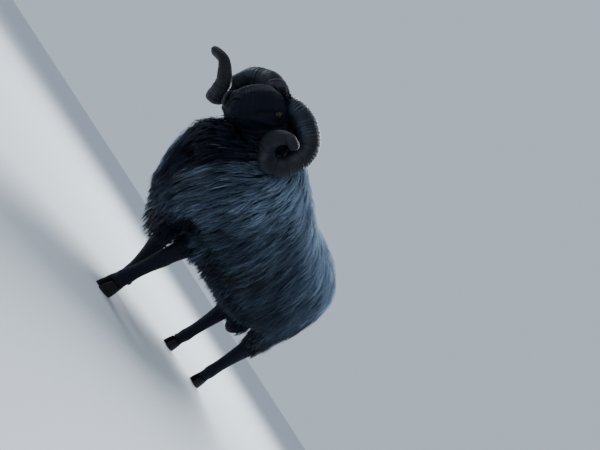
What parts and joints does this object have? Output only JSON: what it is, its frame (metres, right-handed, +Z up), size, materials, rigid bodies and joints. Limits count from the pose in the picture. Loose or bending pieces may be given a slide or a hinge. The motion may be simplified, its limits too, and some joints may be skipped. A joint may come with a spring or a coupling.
{
  "type": "sheep",
  "caption": "Life-size still model of a standing horned heath ram with a shaggy grey fleece, black head and legs and coiled horns.",
  "frame": {"origin": "on the floor, under the middle of the whole animal's box", "axes": "+Z up; the ram faces -Y, so its left side is +X"},
  "size_m": [0.4566, 1.2184, 0.7712],
  "materials": {
    "fleece": "long shaggy blue-grey wool in locks, browner low on the flank",
    "black_coat": "short black hair on the face, ears, legs and scrotum, with long black wool on the throat and chest",
    "horns": "dry grey-brown horn with close cross ridges and paler, rubbed edges",
    "eyes": "wet dark amber eye with a level slot pupil",
    "hooves": "dull black-brown cloven hoof horn"
  },
  "bodies": {
    "root": {"claw_fore_left_inner": "hooves", "claw_fore_left_outer": "hooves", "claw_fore_right_inner": "hooves", "claw_fore_right_outer": "hooves", "claw_hind_left_inner": "hooves", "claw_hind_left_outer": "hooves", "claw_hind_right_inner": "hooves", "claw_hind_right_outer": "hooves", "ear_left": "black_coat", "ear_right": "black_coat", "eye_left": "eyes", "eye_right": "eyes", "head": "black_coat", "horn_left": "horns", "horn_right": "horns", "leg_fore_left": "black_coat", "leg_fore_right": "black_coat", "leg_hind_left": "black_coat", "leg_hind_right": "black_coat", "neck": "fleece", "scrotum": "black_coat", "tail": "fleece", "trunk": "fleece"}
  },
  "joints": []
}
